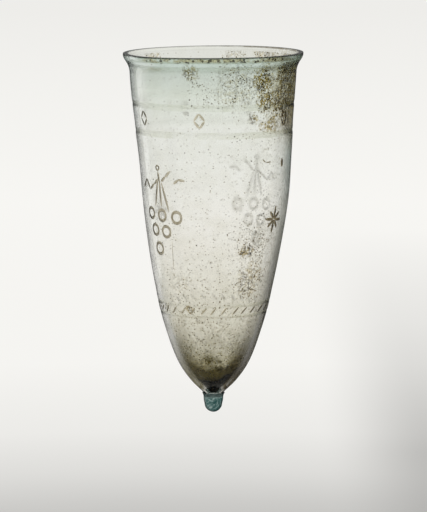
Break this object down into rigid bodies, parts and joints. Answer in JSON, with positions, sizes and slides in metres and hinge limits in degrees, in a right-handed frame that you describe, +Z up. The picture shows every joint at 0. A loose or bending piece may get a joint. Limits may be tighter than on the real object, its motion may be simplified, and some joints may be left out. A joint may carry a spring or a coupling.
{
  "type": "conical glass beaker",
  "caption": "Pointed conical beaker of pale blown glass with a flared ground lip, wheel-cut bands round the body, a blue-green knob on its tip and a soil crust inside.",
  "frame": {"origin": "on the axis, halfway up the cove under the lip, level with the ring of a stand that holds the beaker", "axes": "+Z up along the axis of the beaker towards its mouth; +X to the right and +Y away from the viewer of the picture"},
  "size_m": [0.095, 0.095, 0.1906],
  "materials": {
    "pale_glass": "weathered gloss",
    "blue_green_glass": "gloss",
    "burial_soil": "matte"
  },
  "bodies": {
    "root": {"bowl": "pale_glass", "foot_knob": "blue_green_glass", "soil_crust": "burial_soil"}
  },
  "joints": []
}
